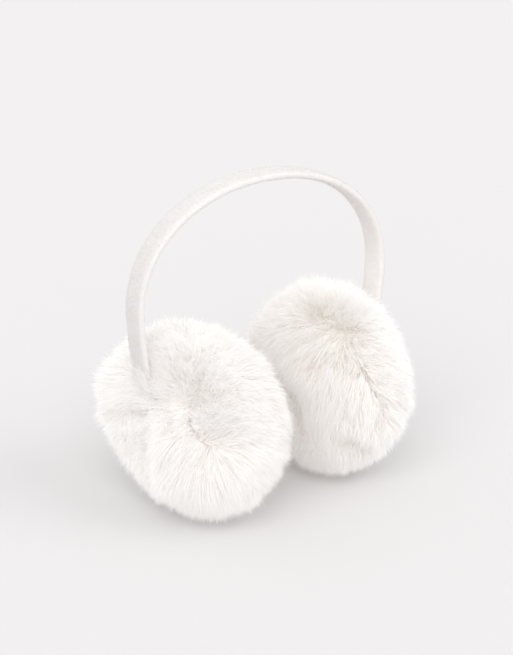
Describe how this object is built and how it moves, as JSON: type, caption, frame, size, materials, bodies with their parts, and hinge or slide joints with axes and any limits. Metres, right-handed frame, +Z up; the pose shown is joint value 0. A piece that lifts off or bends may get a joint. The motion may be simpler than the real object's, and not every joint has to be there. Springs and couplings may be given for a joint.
{
  "type": "fur earmuffs",
  "caption": "Ear warmer with a slim, fabric-covered, arched headband and a round pad of deep white fur at each end of it.",
  "frame": {"origin": "middle of the underside, on the surface that the pads rest on", "axes": "+Z up to the crown of the headband, +X from the left ear pad to the right ear pad, +Y to the back"},
  "size_m": [0.1696, 0.1142, 0.1841],
  "materials": {
    "strap_fabric": "matte short velour pile, off-white",
    "outer_fur": "deep soft faux fur, warm white, creamier towards the roots",
    "inner_fur": "deep soft faux fur, warm white, creamier towards the roots"
  },
  "bodies": {
    "root": {"headband": "strap_fabric", "left_outer_fur": "outer_fur", "left_inner_fur": "inner_fur", "right_outer_fur": "outer_fur", "right_inner_fur": "inner_fur"}
  },
  "joints": []
}
